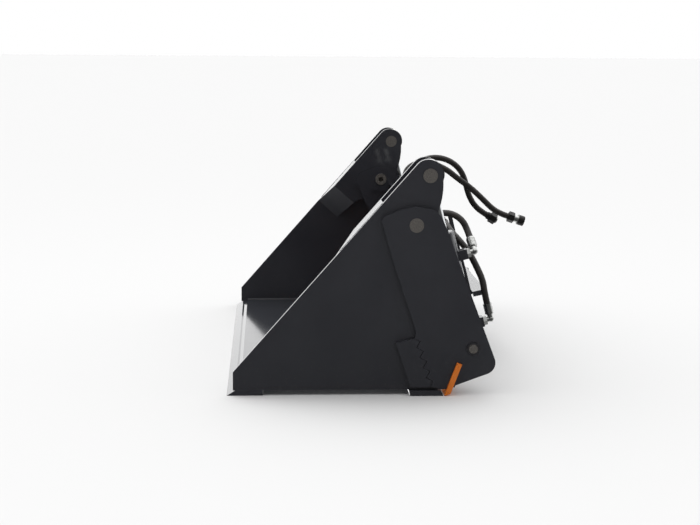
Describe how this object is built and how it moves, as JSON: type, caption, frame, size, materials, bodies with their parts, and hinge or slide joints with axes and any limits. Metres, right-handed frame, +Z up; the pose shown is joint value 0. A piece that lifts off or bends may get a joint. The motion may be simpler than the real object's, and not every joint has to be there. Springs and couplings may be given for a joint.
{
  "type": "loader clamshell bucket",
  "caption": "Hydraulic four-in-one clamshell bucket for a compact loader, with side cylinders, hinged front clam and rear hook-on hitch.",
  "frame": {"origin": "centre of the bottom of the bounding box, on the ground, without the supply hoses", "axes": "+Z up, -Y out of the bucket's mouth, X across its width"},
  "size_m": [1.416, 0.9346, 0.6629],
  "materials": {
    "black_paint": "semi-gloss powder coat",
    "orange_edge": "semi-gloss paint",
    "pin_steel": "dark phosphated steel",
    "chromed_rod": "polished",
    "zinc_steel": "bright zinc plate",
    "edge_steel": "painted wear steel",
    "machined_steel": "machined",
    "hose_rubber": "matt"
  },
  "bodies": {
    "blade": {"base_pin_left": "pin_steel", "base_pin_right": "pin_steel", "base_pin_spacers": "machined_steel", "bay_front_sheets": "black_paint", "blade_cutting_edge": "orange_edge", "blade_side_plate_left": "black_paint", "blade_side_plate_right": "black_paint", "cap_hose_left": "hose_rubber", "cap_hose_right": "hose_rubber", "cutting_edge_bolts": "zinc_steel", "edge_backing_bar": "black_paint", "hinge_pin_left": "pin_steel", "hinge_pin_right": "pin_steel", "hitch_cross_plate": "black_paint", "hitch_lower_bar": "black_paint", "hitch_ribs": "black_paint", "hitch_stop_bolts": "zinc_steel", "hose_clips": "zinc_steel", "hose_manifold": "black_paint", "inner_cheek_left": "black_paint", "inner_cheek_right": "black_paint", "manifold_fittings": "zinc_steel", "moldboard_beam": "black_paint", "moldboard_sheet": "black_paint", "pin_keepers": "black_paint", "rod_hose_left": "hose_rubber", "rod_hose_right": "hose_rubber", "supply_fitting_a": "zinc_steel", "supply_fitting_b": "zinc_steel", "supply_hose_a": "hose_rubber", "supply_hose_b": "hose_rubber"},
    "clam": {"clam_side_plate_left": "black_paint", "clam_side_plate_right": "black_paint", "clam_arm_plate_left": "black_paint", "clam_arm_plate_right": "black_paint", "arm_cover_left": "black_paint", "arm_cover_right": "black_paint", "jaw_tooth_plate_left": "black_paint", "jaw_tooth_plate_right": "black_paint", "rod_pin_left": "pin_steel", "rod_pin_right": "pin_steel", "clam_floor_sheet": "black_paint", "front_cutting_edge": "edge_steel", "heel_bar": "black_paint", "clam_hinge_bushes": "machined_steel"},
    "barrel_left": {"cylinder_base_eye_left": "black_paint", "cylinder_tube_left": "black_paint", "cylinder_gland_left": "black_paint", "port_fittings_left": "zinc_steel"},
    "rod_left": {"piston_rod_left": "chromed_rod", "cylinder_piston_left": "machined_steel", "rod_eye_left": "black_paint"},
    "barrel_right": {"cylinder_base_eye_right": "black_paint", "cylinder_tube_right": "black_paint", "cylinder_gland_right": "black_paint", "port_fittings_right": "zinc_steel"},
    "rod_right": {"piston_rod_right": "chromed_rod", "cylinder_piston_right": "machined_steel", "rod_eye_right": "black_paint"}
  },
  "joints": [
    {"name": "clam_hinge", "type": "hinge", "parent": "blade", "child": "clam", "pos_m": [0, 0.1297, 0.4816], "axis": [-1, 0, 0], "range_deg": [0, 60]},
    {"name": "barrel_tilt_left", "type": "hinge", "parent": "blade", "child": "barrel_left", "pos_m": [0.63875, 0.293, 0.1343], "axis": [-1, 0, 0], "range_deg": [0, 12], "deforming": ["rod_hose_left", "cap_hose_left"]},
    {"name": "rod_slide_left", "type": "slide", "parent": "barrel_left", "child": "rod_left", "axis": [0, -0.2518, 0.9678], "range_m": [-0.112, 0]},
    {"name": "barrel_tilt_right", "type": "hinge", "parent": "blade", "child": "barrel_right", "pos_m": [-0.63875, 0.293, 0.1343], "axis": [-1, 0, 0], "range_deg": [0, 12], "deforming": ["rod_hose_right", "cap_hose_right"]},
    {"name": "rod_slide_right", "type": "slide", "parent": "barrel_right", "child": "rod_right", "axis": [0, -0.2518, 0.9678], "range_m": [-0.112, 0]}
  ],
  "couplings": [
    {"joint": "barrel_tilt_left", "follows": "clam_hinge", "ratio": 0.195},
    {"joint": "rod_slide_left", "follows": "clam_hinge", "m_per_rad": -0.1055},
    {"joint": "barrel_tilt_right", "follows": "clam_hinge", "ratio": 0.195},
    {"joint": "rod_slide_right", "follows": "clam_hinge", "m_per_rad": -0.1055}
  ]
}
